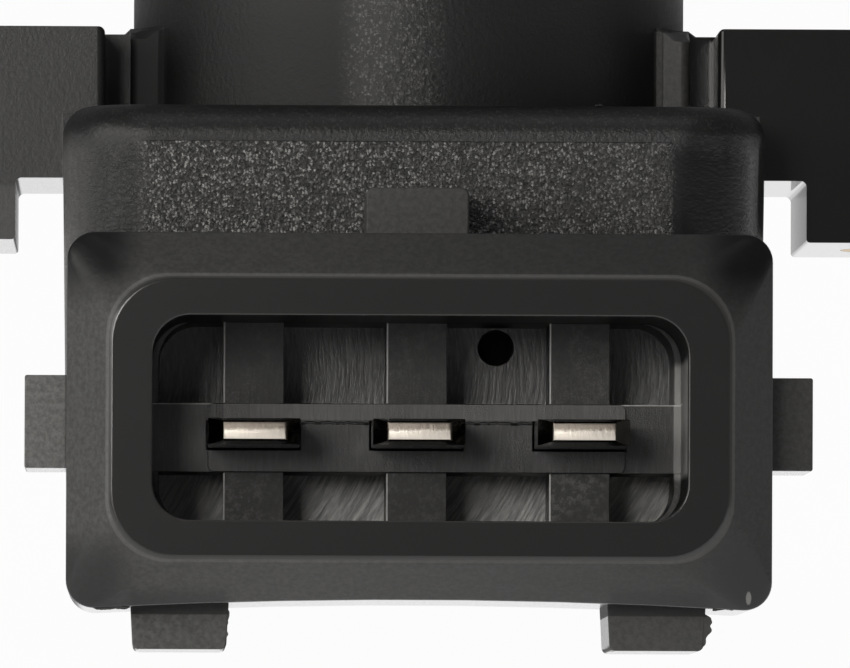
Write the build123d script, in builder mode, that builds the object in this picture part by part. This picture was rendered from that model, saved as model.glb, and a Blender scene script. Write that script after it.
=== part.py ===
from build123d import *
from math import radians, sqrt, tan
import os

os.makedirs("parts", exist_ok=True)

# Manifold absolute pressure sensor with a three-way blade connector, in millimetres.
# +Z runs up the spigot, the connector's mouth faces -Y, and the origin is on the spigot's
# axis in the seating plane of the ears. Heights below that plane are negative.

# Spigot that plugs into the manifold
spigot_diameter = 17.5
spigot_reach = 14.0
spigot_bore = 10.0
spigot_floor_depth = 2.5
spigot_lead_in = 1.0
spigot_root_flare = 0.5
seal_section = 2.0
seal_bevel = 0.5
groove_depth = 1.75
groove_width = 2.6
groove_from_tip = 4.0
duct_diameter = 3.0

# Block that carries the electronics
block_width = 21.88
block_front = -15.0
block_back = 13.0
block_top = -2.79
block_height = 14.89
block_corner = 2.8
block_top_edge = 0.95
block_draft = 0.8
block_roof = 2.0
rim_wall = 1.3
cover_land = 0.7
board_ledge = 1.0
inner_corner = 0.8

# Neck and web between the spigot and the ears
neck_half_width = 8.85
neck_half_depth = 4.0
neck_edge = 0.3
web_half_depth = 2.0
web_bite = 0.5
flange_top = -0.04

# Ears with pressed-in bushes
bolt_spacing = 35.0
ear_inner_end = 9.65
ear_half_depth = 6.5
ear_thickness = 4.78
ear_edge = 0.25
ear_top_edge = 0.2
hub_inner_face = 12.45
hub_drop = 1.94
hub_edge = 0.12
hub_root = 0.2
bush_diameter = 7.4
bush_bore = 5.4
bush_chamfer = 0.3
bush_gap = 0.02

# Connector shroud: outlines are widths along X by heights along Z
mouth_reach = 27.0
connector_height = -12.82
mouth_width = 16.2
mouth_height = 6.2
mouth_corner = 1.15
rim_width = 18.85
rim_height = 8.55
rim_corner = 2.0
shroud_width = 21.4
shroud_rise = 5.65
shroud_fall = 5.8
shroud_corner = 0.85
shroud_bow = 0.33
bevel_depth = 1.5
bars_depth = 7.6
pocket_depth = 12.4
pocket_inset = 0.2
bar_width = 1.85

# Cross bar that holds the blades
cross_bar_middle = -0.43
cross_bar_height = 2.1
cross_bar_proud = 0.3
cross_bar_side_proud = 0.14
cross_bar_half_width = 6.4
cross_bar_corner = 0.21
upper_strip_height = 0.62
upper_strip_proud = 0.07
blade_recess_depth = 0.4
blade_recess_gap = 0.05

# Blades, their tails and their solder
pin_count = 3
pin_pitch = 5.0
pin_height = -0.36
blade_width = 2.8
blade_thickness = 0.8
blade_tip_depth = 1.2
blade_tip_width = 1.9
blade_tip_thickness = 0.58
blade_tip_length = 0.8
blade_bend_radius = 0.9
blade_run_in_chamber = 1.6
tail_width = 1.0
tail_below_board = 0.55
tail_hole_clearance = 0.12
insert_gap = 0.02
solder_radius = 1.15
solder_tip_radius = 0.75
solder_height = 0.4

# Tabs, ribs and the mark left by a core pin
side_tab_reach = 1.28
side_tab_height = 2.83
side_tab_middle = -0.07
side_tab_depth = 3.0
side_tab_length = 6.0
coding_rib_spacing = 14.5
coding_rib_width = 2.85
coding_rib_draft = 3.0
coding_rib_reach = 1.17
coding_rib_depth = 3.2
coding_rib_edge = 0.2
top_tab_width = 3.15
top_tab_reach = 1.6
top_tab_depth = 7.0
top_tab_edge = 0.25
core_hole_diameter = 1.1
core_hole_depth = 1.2
core_hole_x = 2.52
core_hole_height = 2.5

# Cover under the block and the bead that bonds it
cover_thickness = 1.2
cover_gap = 0.1
bead_thickness = 0.3
bead_inset = 0.08
cover_rib_width = 0.9
board_hold_gap = 0.1

# Board and what stands on it
board_above_foot = 3.0
board_thickness = 0.8
board_gap = 0.1
cell_width = 8.0
cell_height = 3.3
cell_standoff = 0.1
cell_cavity_diameter = 5.4
cell_cavity_depth = 2.2
cell_seal_thickness = 0.5
cell_seal_width = 0.9
cell_seal_gap = 0.1
gel_below_rim = 0.4
die_width = 2.0
die_thickness = 0.4
die_membrane = 0.05
die_vacuum_width = 1.3
die_membrane_width = 0.9
pedestal_height = 0.7
lead_width = 0.42
lead_thickness = 0.22
lead_reach = 1.2
lead_foot = 0.55
cell_lead_pitch = 1.8
cell_lead_count = 4
chip_width = 3.9
chip_length = 4.9
chip_height = 1.5
chip_position = 6.9
chip_lead_pitch = 1.27
capacitor_length = 2.0
capacitor_width = 1.25
capacitor_height = 0.85
capacitor_position = -7.6
resistor_length = 1.6
resistor_width = 0.8
resistor_height = 0.45
resistor_spacing_x = 11.6
resistor_spacing_y = 2.4
resistor_position = 6.9
boss_wall = 0.6

# Sizes that follow from the ones above
spigot_radius = spigot_diameter / 2
groove_radius = spigot_radius - groove_depth
groove_middle = spigot_reach - groove_from_tip - groove_width / 2
port_seal_radius = groove_radius + seal_section
bush_wall_radius = (bush_bore + bush_diameter) / 4
block_depth = block_back - block_front
block_middle = (block_front + block_back) / 2
block_bottom = block_top - block_height
roof_height = block_top - block_roof
rebate_inset = rim_wall
board_inset = rim_wall + cover_land
chamber_inset = board_inset + board_ledge
chamber_front = block_front + chamber_inset
board_height = block_bottom + board_above_foot
board_bottom = board_height - board_thickness
cover_inner = block_bottom + cover_thickness
pin_z = connector_height + pin_height
tail_y = chamber_front + blade_run_in_chamber
tail_end = board_bottom - tail_below_board
tail_hole_radius = sqrt(tail_width**2 + blade_thickness**2) / 2 + tail_hole_clearance
cell_base = board_height + cell_standoff
cell_top = cell_base + cell_height
cell_floor = cell_top - cell_cavity_depth
seal_bore = cell_cavity_diameter + 2 * cell_seal_gap
seal_outer = seal_bore + 2 * cell_seal_width
boss_bottom = cell_top + cell_seal_thickness
boss_diameter = seal_outer + 2 * boss_wall
hub_bottom = -ear_thickness - hub_drop
strip_bottom = cross_bar_middle + cross_bar_height / 2 - upper_strip_height
shroud_length = block_front + mouth_reach

# Every outline of the connector is drawn on a plane that faces out of its mouth
mouth = Plane(origin=(0, -mouth_reach, connector_height), x_dir=(1, 0, 0), z_dir=(0, -1, 0))


def block_outline(inset):
    """The block's plan, drawn in from its outer wall, inside a sketch."""
    with Locations((0, block_middle)):
        corner = max(block_corner - inset, inner_corner)
        RectangleRounded(block_width - 2 * inset, block_depth - 2 * inset, corner)


def neck_and_web():
    """Plan of the neck and of the web that joins it to both ears, inside a sketch."""
    RectangleRounded(2 * neck_half_width, 2 * neck_half_depth, neck_edge)
    Rectangle(2 * (ear_inner_end + web_bite), 2 * web_half_depth)


def pin_places():
    """Places of the blades across the connector."""
    return GridLocations(pin_pitch, 0, pin_count, 1)


# Flare at the spigot's root, kept only where the neck and the web lie under it
with BuildPart() as root_flare:
    with BuildSketch(Plane.XY.offset(flange_top)):
        Circle(spigot_radius + spigot_root_flare)
    extrude(amount=spigot_root_flare, taper=45)
    with BuildSketch(Plane.XY.offset(flange_top)):
        neck_and_web()
    extrude(amount=spigot_root_flare, mode=Mode.INTERSECT)

# Ears: each is a plate with a deeper hub round its bush, stepped as seen from the front and
# then trimmed to its rounded plan
with BuildPart() as ears:
    with BuildSketch(Plane.XZ):
        with BuildLine():
            outer_end = bolt_spacing / 2 + ear_half_depth
            Polyline((ear_inner_end, 0), (outer_end, 0), (outer_end, hub_bottom),
                     (hub_inner_face, hub_bottom), (hub_inner_face, -ear_thickness),
                     (ear_inner_end, -ear_thickness), close=True)
        make_face()
        fillet(vertices().sort_by_distance((hub_inner_face, -ear_thickness))[0], radius=hub_root)
        fillet(vertices().sort_by_distance((hub_inner_face, hub_bottom))[0], radius=hub_edge)
        fillet(vertices().sort_by_distance((ear_inner_end, 0))[0], radius=ear_top_edge)
        mirror(about=Plane.YZ)
    extrude(amount=ear_half_depth, both=True)
    with BuildSketch(Plane.XY):
        ear_length = bolt_spacing / 2 - ear_inner_end
        with GridLocations(2 * ear_inner_end + ear_length, 0, 2, 1):
            Rectangle(ear_length, 2 * ear_half_depth)
        with GridLocations(bolt_spacing, 0, 2, 1):
            Circle(ear_half_depth)
        corners = vertices().filter_by(lambda vertex: abs(vertex.X) < ear_inner_end + ear_edge)
        fillet(corners, radius=ear_edge)
    extrude(amount=hub_bottom, mode=Mode.INTERSECT)

# Housing, one moulding: block, spigot, ears and connector shroud
with BuildPart() as housing:
    with BuildSketch(Plane.XY.offset(block_top)):
        block_outline(0)
    extrude(amount=-block_height, taper=block_draft)
    fillet(housing.faces().sort_by(Axis.Z)[-1].edges(), radius=block_top_edge)

    with BuildSketch(Plane.XY.offset(roof_height)):
        Circle(spigot_radius)
    extrude(amount=spigot_reach - roof_height)
    chamfer(housing.faces().sort_by(Axis.Z)[-1].edges(), length=spigot_lead_in)

    # Neck and web, cored in front and behind
    with BuildSketch(Plane.XY.offset(roof_height)):
        neck_and_web()
    extrude(amount=flange_top - roof_height)
    add(root_flare.part)

    add(ears.part)

    # Shroud: a straight body, then the bevel up to the rim of the mouth
    with BuildSketch(mouth.offset(-bevel_depth)) as shroud_base:
        with BuildLine():
            right = shroud_width / 2
            Polyline((-right, -shroud_fall), (-right, shroud_rise), (right, shroud_rise),
                     (right, -shroud_fall))
            ThreePointArc((right, -shroud_fall), (0, shroud_bow - shroud_fall), (-right, -shroud_fall))
        make_face()
        fillet(vertices(), radius=shroud_corner)
    extrude(amount=-(shroud_length - bevel_depth + rim_wall))
    add(shroud_base.sketch)
    with BuildSketch(mouth):
        RectangleRounded(rim_width, rim_height, rim_corner)
    loft(ruled=True)

    # Tabs at the sides, coding ribs below and the tab on top
    with BuildSketch(mouth.offset(-side_tab_depth)):
        with Locations((0, side_tab_middle)):
            Rectangle(shroud_width + 2 * side_tab_reach, side_tab_height)
    extrude(amount=-side_tab_length)
    with BuildSketch(mouth.offset(-coding_rib_depth)):
        rib_height = coding_rib_reach + rim_wall
        rib_root_width = coding_rib_width + 2 * rib_height * tan(radians(coding_rib_draft))
        with Locations((0, rim_wall - shroud_fall - rib_height / 2)):
            with GridLocations(coding_rib_spacing, 0, 2, 1):
                Trapezoid(rib_root_width, rib_height, 90 - coding_rib_draft, rotation=180)
        fillet(vertices().group_by(Axis.Y)[0], radius=coding_rib_edge)
    extrude(amount=-(shroud_length - coding_rib_depth))
    with BuildSketch(mouth.offset(-top_tab_depth)):
        tab_height = top_tab_reach + shroud_rise
        with Locations((0, tab_height / 2)):
            Rectangle(top_tab_width, tab_height)
        fillet(vertices().group_by(Axis.Y)[-1], radius=top_tab_edge)
    extrude(amount=-(shroud_length - top_tab_depth))

    # Mouth, the eight pockets behind it and the bars between them
    with BuildSketch(mouth):
        RectangleRounded(mouth_width, mouth_height, mouth_corner)
    extrude(amount=-bars_depth, mode=Mode.SUBTRACT)
    with BuildSketch(mouth.offset(-bars_depth)):
        RectangleRounded(mouth_width - 2 * pocket_inset, mouth_height, mouth_corner)
        with pin_places():
            Rectangle(bar_width, mouth_height, mode=Mode.SUBTRACT)
        with Locations((0, cross_bar_middle)):
            Rectangle(mouth_width, cross_bar_height, mode=Mode.SUBTRACT)
    extrude(amount=-(pocket_depth - bars_depth), mode=Mode.SUBTRACT)
    with BuildSketch(mouth.offset(-pocket_depth)):
        with Locations((core_hole_x, core_hole_height)):
            Circle(core_hole_diameter / 2)
    extrude(amount=-core_hole_depth, mode=Mode.SUBTRACT)

    # Cross bar: side stretches, the middle one and the strip above the blades
    with BuildSketch(mouth.offset(-bars_depth)):
        with Locations((0, cross_bar_middle)):
            Rectangle(mouth_width, cross_bar_height)
    extrude(amount=cross_bar_side_proud)
    with BuildSketch(mouth.offset(-bars_depth)):
        with Locations((0, cross_bar_middle)):
            RectangleRounded(2 * cross_bar_half_width, cross_bar_height, cross_bar_corner)
    extrude(amount=cross_bar_proud)
    with BuildSketch(mouth.offset(-bars_depth)):
        with Locations((0, strip_bottom + upper_strip_height / 2)):
            RectangleRounded(2 * cross_bar_half_width, upper_strip_height, cross_bar_corner)
    extrude(amount=cross_bar_proud + upper_strip_proud)
    with BuildSketch(mouth.offset(cross_bar_proud + upper_strip_proud - bars_depth)):
        with Locations((0, pin_height)):
            with pin_places():
                Rectangle(blade_width + 2 * blade_recess_gap, blade_thickness + 2 * blade_recess_gap)
    extrude(amount=-blade_recess_depth, mode=Mode.SUBTRACT)

    # Chamber, stepped for the board and for the cover
    with BuildSketch(Plane.XY.offset(roof_height)):
        block_outline(chamber_inset)
    extrude(amount=block_bottom - roof_height, mode=Mode.SUBTRACT)
    with BuildSketch(Plane.XY.offset(board_height)):
        block_outline(board_inset)
    extrude(amount=block_bottom - board_height, mode=Mode.SUBTRACT)
    with BuildSketch(Plane.XY.offset(cover_inner + bead_thickness)):
        block_outline(rebate_inset)
    extrude(amount=-(cover_thickness + bead_thickness), mode=Mode.SUBTRACT)

    # Boss round the pressure duct, then the bores down through it
    with BuildSketch(Plane.XY.offset(roof_height)):
        Circle(boss_diameter / 2)
    extrude(amount=boss_bottom - roof_height)
    with BuildSketch(Plane.XY.offset(spigot_reach)):
        Circle(spigot_bore / 2)
    extrude(amount=-(spigot_reach + spigot_floor_depth), mode=Mode.SUBTRACT)
    with BuildSketch(Plane.XY.offset(-spigot_floor_depth)):
        Circle(duct_diameter / 2)
    extrude(amount=boss_bottom + spigot_floor_depth, mode=Mode.SUBTRACT)
    with BuildSketch(Plane.XY.offset(boss_bottom)):
        Circle(seal_bore / 2)
    extrude(amount=cell_seal_thickness, mode=Mode.SUBTRACT)

    # Seal groove in the spigot
    with BuildSketch(Plane.XY.offset(groove_middle - groove_width / 2)):
        Circle(port_seal_radius)
        Circle(groove_radius, mode=Mode.SUBTRACT)
    extrude(amount=groove_width, mode=Mode.SUBTRACT)

    # Bush holes and the slots that the blades are moulded into
    with BuildSketch(Plane.XY):
        with GridLocations(bolt_spacing, 0, 2, 1):
            Circle(bush_diameter / 2 + bush_gap)
    extrude(amount=hub_bottom, mode=Mode.SUBTRACT)
    with BuildSketch(mouth.offset(cross_bar_proud - bars_depth)):
        with Locations((0, pin_height)):
            with pin_places():
                Rectangle(blade_width + 2 * insert_gap, blade_thickness + 2 * insert_gap)
    slot_length = chamber_front + mouth_reach - bars_depth + cross_bar_proud
    extrude(amount=-slot_length, mode=Mode.SUBTRACT)

housing.part.label = "housing"
export_step(housing.part, "parts/housing.step")
print("housing", len(housing.part.solids()), "solid,", round(housing.part.volume), "mm3")

# Blade terminals: a tapered tip, a straight blade, one bend and a narrow solder tail
tip_plane = mouth.offset(-blade_tip_depth)
for number, place in enumerate(pin_places(), start=1):
    x = place.position.X
    with BuildPart() as terminal:
        with BuildLine() as route:
            FilletPolyline((x, blade_tip_depth + blade_tip_length - mouth_reach, pin_z), (x, tail_y, pin_z),
                           (x, tail_y, tail_end), radius=blade_bend_radius)
        with BuildSketch(tip_plane.offset(-blade_tip_length)):
            with Locations((x, pin_height)):
                Rectangle(blade_width, blade_thickness)
        sweep(path=route.wires()[0])
        with BuildSketch(tip_plane.offset(-blade_tip_length)):
            with Locations((x, pin_height)):
                Rectangle(blade_width, blade_thickness)
        with BuildSketch(tip_plane):
            with Locations((x, pin_height)):
                Rectangle(blade_tip_width, blade_tip_thickness)
        loft(ruled=True)
        # Both sides of the tail are cut away below the bend
        with BuildSketch(Plane.XY.offset(board_height)):
            with Locations((x, tail_y)):
                Rectangle(2 * blade_width, 2 * blade_thickness)
                Rectangle(tail_width, 2 * blade_thickness, mode=Mode.SUBTRACT)
        extrude(amount=tail_end - board_height, mode=Mode.SUBTRACT)
    terminal.part.label = f"terminal_{number}"
    export_step(terminal.part, f"parts/terminal_{number}.step")

# Solder that holds the tails under the board
with BuildPart() as solder_joints:
    for place in pin_places():
        x = place.position.X
        with BuildSketch(Plane.XY.offset(board_bottom)):
            with Locations((x, tail_y)):
                Circle(solder_radius)
        with BuildSketch(Plane.XY.offset(board_bottom - solder_height)):
            with Locations((x, tail_y)):
                Circle(solder_tip_radius)
        loft()
        with BuildSketch(Plane.XY.offset(board_bottom)):
            with Locations((x, tail_y)):
                Rectangle(tail_width, blade_thickness)
        extrude(amount=-solder_height, mode=Mode.SUBTRACT)
solder_joints.part.label = "solder_joints"
export_step(solder_joints.part, "parts/solder_joints.step")

# Ring seal in the spigot's groove, cut with bevelled outer corners
with BuildPart() as port_seal:
    with BuildSketch(Plane.XZ):
        with BuildLine():
            shoulder = port_seal_radius - seal_bevel
            low = groove_middle - seal_section / 2
            high = groove_middle + seal_section / 2
            Polyline((groove_radius, low), (groove_radius, high), (shoulder, high),
                     (port_seal_radius, high - seal_bevel), (port_seal_radius, low + seal_bevel),
                     (shoulder, low), close=True)
        make_face()
    revolve(axis=Axis.Z)
port_seal.part.label = "port_seal"
export_step(port_seal.part, "parts/port_seal.step")

# Metal bushes that take the load of the screws
for side, name in ((-1, "bush_left"), (1, "bush_right")):
    with BuildPart() as bush:
        with BuildSketch(Plane.XY):
            with Locations((side * bolt_spacing / 2, 0)):
                Circle(bush_diameter / 2)
                Circle(bush_bore / 2, mode=Mode.SUBTRACT)
        extrude(amount=hub_bottom)
        rings = bush.edges().filter_by(GeomType.CIRCLE)
        chamfer(rings.filter_by(lambda edge: edge.radius < bush_wall_radius), length=bush_chamfer)
    bush.part.label = name
    export_step(bush.part, f"parts/{name}.step")

# Cover under the block, with a rib that holds the board up against its ledge
with BuildPart() as base_cover:
    with BuildSketch(Plane.XY.offset(block_bottom)):
        block_outline(rebate_inset + cover_gap)
    extrude(amount=cover_thickness)
    with BuildSketch(Plane.XY.offset(cover_inner)):
        block_outline(board_inset + cover_gap)
        with Locations((0, block_middle)):
            rib_inset = board_inset + cover_gap + cover_rib_width
            Rectangle(block_width - 2 * rib_inset, block_depth - 2 * rib_inset, mode=Mode.SUBTRACT)
    extrude(amount=board_bottom - board_hold_gap - cover_inner)
base_cover.part.label = "base_cover"
export_step(base_cover.part, "parts/base_cover.step")

# Bead of adhesive on the step above the cover
with BuildPart() as cover_bead:
    with BuildSketch(Plane.XY.offset(cover_inner)):
        block_outline(rebate_inset + bead_inset)
        with Locations((0, block_middle)):
            corner = max(block_corner - board_inset, inner_corner)
            RectangleRounded(block_width - 2 * board_inset, block_depth - 2 * board_inset, corner,
                             mode=Mode.SUBTRACT)
    extrude(amount=bead_thickness)
cover_bead.part.label = "cover_bead"
export_step(cover_bead.part, "parts/cover_bead.step")

# Circuit board, with a hole for each tail
with BuildPart() as circuit_board:
    with BuildSketch(Plane.XY.offset(board_height)):
        block_outline(board_inset + board_gap)
        with Locations((0, tail_y)):
            with pin_places():
                Circle(tail_hole_radius, mode=Mode.SUBTRACT)
    extrude(amount=-board_thickness)
circuit_board.part.label = "circuit_board"
export_step(circuit_board.part, "parts/circuit_board.step")

# Pressure cell: a cup that faces the duct
with BuildPart() as cell_body:
    with BuildSketch(Plane.XY.offset(cell_base)):
        RectangleRounded(cell_width, cell_width, inner_corner)
    extrude(amount=cell_height)
    with BuildSketch(Plane.XY.offset(cell_top)):
        Circle(cell_cavity_diameter / 2)
    extrude(amount=-cell_cavity_depth, mode=Mode.SUBTRACT)
cell_body.part.label = "cell_body"
export_step(cell_body.part, "parts/cell_body.step")

# Ring between the cup and the boss of the duct
with BuildPart() as cell_seal:
    with BuildSketch(Plane.XY.offset(cell_top)):
        Circle(seal_outer / 2)
        Circle(seal_bore / 2, mode=Mode.SUBTRACT)
    extrude(amount=cell_seal_thickness)
cell_seal.part.label = "cell_seal"
export_step(cell_seal.part, "parts/cell_seal.step")

# Glass pedestal and the silicon die, hollow under its membrane
with BuildPart() as die_pedestal:
    with BuildSketch(Plane.XY.offset(cell_floor)):
        Rectangle(die_width, die_width)
    extrude(amount=pedestal_height)
die_pedestal.part.label = "die_pedestal"
export_step(die_pedestal.part, "parts/die_pedestal.step")

die_base = cell_floor + pedestal_height
with BuildPart() as sensor_die:
    with BuildSketch(Plane.XY.offset(die_base)):
        Rectangle(die_width, die_width)
    extrude(amount=die_thickness)
    with BuildSketch(Plane.XY.offset(die_base)):
        Rectangle(die_vacuum_width, die_vacuum_width)
    with BuildSketch(Plane.XY.offset(die_base + die_thickness - die_membrane)):
        Rectangle(die_membrane_width, die_membrane_width)
    loft(ruled=True, mode=Mode.SUBTRACT)
sensor_die.part.label = "sensor_die"
export_step(sensor_die.part, "parts/sensor_die.step")

# Soft gel that covers the die
with BuildPart() as cell_gel:
    with BuildSketch(Plane.XY.offset(cell_floor)):
        Circle(cell_cavity_diameter / 2)
    extrude(amount=cell_cavity_depth - gel_below_rim)
    with BuildSketch(Plane.XY.offset(cell_floor)):
        Rectangle(die_width, die_width)
    extrude(amount=pedestal_height + die_thickness, mode=Mode.SUBTRACT)
cell_gel.part.label = "cell_gel"
export_step(cell_gel.part, "parts/cell_gel.step")


def gull_wing_leads(body_half_width, root_height, count, pitch, middle):
    """Bent leads on both sides of a package that stands on the board."""
    for side in (-1, 1):
        root = body_half_width
        knee = root + lead_reach - lead_foot
        toe = root + lead_reach
        half = lead_thickness / 2
        with BuildSketch(Plane.XZ.offset(-middle)) as profile:
            with BuildLine():
                foot_top = board_height + lead_thickness
                Polyline((side * root, root_height + half), (side * (knee + half), root_height + half),
                         (side * (knee + half), foot_top), (side * toe, foot_top),
                         (side * toe, board_height), (side * (knee - half), board_height),
                         (side * (knee - half), root_height - half), (side * root, root_height - half),
                         close=True)
            make_face()
        lead = extrude(profile.sketch, amount=lead_width / 2, both=True, mode=Mode.PRIVATE)
        with GridLocations(0, pitch, 1, count):
            add(lead)


# Leads of the pressure cell and of the signal chip
with BuildPart() as cell_leads:
    gull_wing_leads(cell_width / 2, cell_base + cell_height / 3, cell_lead_count, cell_lead_pitch, 0)
cell_leads.part.label = "cell_leads"
export_step(cell_leads.part, "parts/cell_leads.step")

with BuildPart() as chip_leads:
    chip_lead_root = board_height + chip_height / 2
    gull_wing_leads(chip_width / 2, chip_lead_root, cell_lead_count, chip_lead_pitch, chip_position)
chip_leads.part.label = "chip_leads"
export_step(chip_leads.part, "parts/chip_leads.step")

# Signal chip, capacitors beside the tails and trimmed resistors
with BuildPart() as signal_chip:
    with BuildSketch(Plane.XY.offset(board_height + cell_standoff)):
        with Locations((0, chip_position)):
            Rectangle(chip_width, chip_length)
    extrude(amount=chip_height)
    chamfer(signal_chip.faces().sort_by(Axis.Z)[-1].edges(), length=cell_standoff)
signal_chip.part.label = "signal_chip"
export_step(signal_chip.part, "parts/signal_chip.step")

with BuildPart() as capacitors:
    with BuildSketch(Plane.XY.offset(board_height)):
        with Locations((0, capacitor_position)):
            with pin_places():
                Rectangle(capacitor_width, capacitor_length)
    extrude(amount=capacitor_height)
capacitors.part.label = "capacitors"
export_step(capacitors.part, "parts/capacitors.step")

with BuildPart() as resistors:
    with BuildSketch(Plane.XY.offset(board_height)):
        with Locations((0, resistor_position)):
            with GridLocations(resistor_spacing_x, resistor_spacing_y, 2, 2):
                Rectangle(resistor_length, resistor_width)
    extrude(amount=resistor_height)
resistors.part.label = "resistors"
export_step(resistors.part, "parts/resistors.step")
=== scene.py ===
# %% [markdown]
# Manifold absolute pressure sensor: the looks
#
# The sensor is a small black moulding, 48 mm wide, seen square on to its connector. Every solid comes
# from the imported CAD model, in metres. This script rounds the sharp edges of the pieces that show, adds
# what is too fine for the solids, gives each piece its finish, and sets up the white table, the lights
# and the camera of the photograph.

# %% Load the frame
import math

import bmesh
import bpy
from mathutils import Matrix, Vector, noise


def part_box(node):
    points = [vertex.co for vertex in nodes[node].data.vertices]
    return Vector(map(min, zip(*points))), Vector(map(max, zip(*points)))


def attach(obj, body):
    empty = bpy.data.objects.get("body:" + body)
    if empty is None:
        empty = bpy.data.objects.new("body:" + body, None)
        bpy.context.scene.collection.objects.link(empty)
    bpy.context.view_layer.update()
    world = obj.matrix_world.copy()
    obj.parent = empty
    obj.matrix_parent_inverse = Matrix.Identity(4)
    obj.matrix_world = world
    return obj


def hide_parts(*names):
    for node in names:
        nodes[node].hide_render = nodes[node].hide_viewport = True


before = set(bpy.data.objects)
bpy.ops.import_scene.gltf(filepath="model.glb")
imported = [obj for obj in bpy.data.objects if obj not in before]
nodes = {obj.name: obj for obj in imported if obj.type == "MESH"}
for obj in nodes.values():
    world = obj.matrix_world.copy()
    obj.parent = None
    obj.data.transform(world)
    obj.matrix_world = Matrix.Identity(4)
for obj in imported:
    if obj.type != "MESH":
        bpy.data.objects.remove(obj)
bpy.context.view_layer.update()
MM = 0.001

# %% [markdown]
# Places to model from
#
# A piece that is added here sits on the CAD solids, so its place is read from their boxes and not typed
# again. The mouth of the connector is the lowest Y of the housing, and the top of a blade is a little
# above the connector's middle. The ears' seat is at Z = 0. From here on, plain numbers are millimetres.

# %% Places read from the solids
housing_low, housing_high = (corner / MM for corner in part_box("housing"))
blade_low, blade_high = (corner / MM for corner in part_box("terminal_2"))
seal_low, seal_high = (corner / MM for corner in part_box("port_seal"))
blade_top_above_middle = 0.04
connector_z = blade_high.z - blade_top_above_middle
mouth_y = housing_low.y
bars_y = mouth_y + 7.6
floor_y = mouth_y + 12.4
blade_pitch = 5.0
block_front_y = -15.0
block_top_z = -2.79
print("mouth Y:", round(mouth_y, 2), "connector Z:", round(connector_z, 2), "bars Y:", round(bars_y, 2))

# %% [markdown]
# Camera
#
# The photograph is a close macro shot from far away with a long lens: the rims of the connector show
# almost no perspective. The camera stands half a metre in front of the mouth, a little below and to the
# left of it, looks up by 1.75 degrees and to the right by 0.9, and leans by a fifth of a degree. The
# focal length follows from the blades, which stand 5 mm apart.

# %% Camera
camera_place = Vector((-7.87, -526.7, -25.56)) * MM
camera_turn = math.radians(-0.917)
camera_tilt = math.radians(90 + 1.752)
camera_roll = math.radians(0.224)
focal_pixels = 16550
photo_width = 850

camera_data = bpy.data.cameras.new("camera")
camera_data.sensor_fit = "HORIZONTAL"
camera_data.sensor_width = 36.0
camera_data.lens = focal_pixels * camera_data.sensor_width / photo_width
camera_data.clip_start = 0.05
camera_data.clip_end = 20.0
camera = bpy.data.objects.new("camera", camera_data)
aim = (Matrix.Rotation(camera_turn, 4, "Z") @ Matrix.Rotation(camera_tilt, 4, "X")
       @ Matrix.Rotation(camera_roll, 4, "Z"))
camera.matrix_world = Matrix.Translation(camera_place) @ aim
bpy.context.scene.collection.objects.link(camera)
bpy.context.scene.camera = camera
print("lens in mm:", round(camera_data.lens, 1))

# %% [markdown]
# Making a piece
#
# Each new piece is made in a bmesh, in place and in metres, and becomes an object at the origin. It
# rides on the one body of the sensor and hides the CAD solid that it stands for, if there is one. A copy
# of a CAD solid brings stored normals along, which no longer fit once its edges are rounded, so they are
# dropped and worked out afresh.


# %% Make a piece
crease_angle = math.radians(45)


def piece_from(shape, name, stands_for=None):
    """Turns a bmesh into a piece of the sensor, shaded smooth up to the crease angle."""
    for face in shape.faces:
        face.smooth = True
    for edge in shape.edges:
        edge.smooth = edge.calc_face_angle(math.pi) < crease_angle
    mesh = bpy.data.meshes.new(name)
    shape.to_mesh(mesh)
    shape.free()
    if mesh.has_custom_normals:
        mesh.attributes.remove(mesh.attributes["custom_normal"])
    piece = bpy.data.objects.new(name, mesh)
    bpy.context.scene.collection.objects.link(piece)
    even = piece.modifiers.new("even_normals", "WEIGHTED_NORMAL")
    even.keep_sharp = True
    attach(piece, "root")
    if stands_for:
        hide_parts(stands_for)
    print(name, "faces:", len(mesh.polygons))
    return piece


# %% [markdown]
# Rounded edges
#
# No moulded edge is truly sharp, and a black part is drawn almost wholly by the light on its rounded
# edges. The CAD solids keep sharp edges where the radius is a tenth of a millimetre or less. A Bevel
# node could fake the light on them, but real bevels also hold in the mesh itself. A copy of the solid
# is merged into one skin, its flat triangles are dissolved into larger faces, and each group of edges
# gets its own radius: wide on the rim of the shroud, fine on the bars inside it.

# %% Round the edges of a copy
merge_within = 0.002
flat_angle = math.radians(0.5)
edge_angle = math.radians(28)


def rounded_copy(node_name, rules):
    """A bmesh copy of a node with its convex edges rounded, by rules of a test, a width and steps."""
    shape = bmesh.new()
    shape.from_mesh(nodes[node_name].data)
    bmesh.ops.remove_doubles(shape, verts=shape.verts, dist=merge_within * MM)
    bmesh.ops.dissolve_limit(shape, angle_limit=flat_angle, verts=shape.verts, edges=shape.edges)
    for test, width, steps in rules:
        chosen = []
        for edge in shape.edges:
            ends = [vert.co / MM for vert in edge.verts]
            if edge.is_convex and edge.calc_face_angle(0.0) > edge_angle and all(map(test, ends)):
                chosen.append(edge)
        bmesh.ops.bevel(shape, geom=chosen, affect="EDGES", offset=width * MM, offset_type="OFFSET",
                        segments=steps, profile=0.5, clamp_overlap=False, material=-1)
        print(node_name, "edges rounded:", len(chosen), "to", width, "mm")
    return shape


# %% [markdown]
# Housing with rounded edges
#
# The rules read the place of an edge's two ends. The rim between the front land and the bevel gets an
# eighth of a millimetre, in four steps, because it shows in the photograph as a soft light line. The
# chamber inside the block and the seal groove are left as they are, since nothing shows of them. The
# ears and the neck beside the spigot keep the solid's own edges, which are crisp in the photograph.


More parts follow.
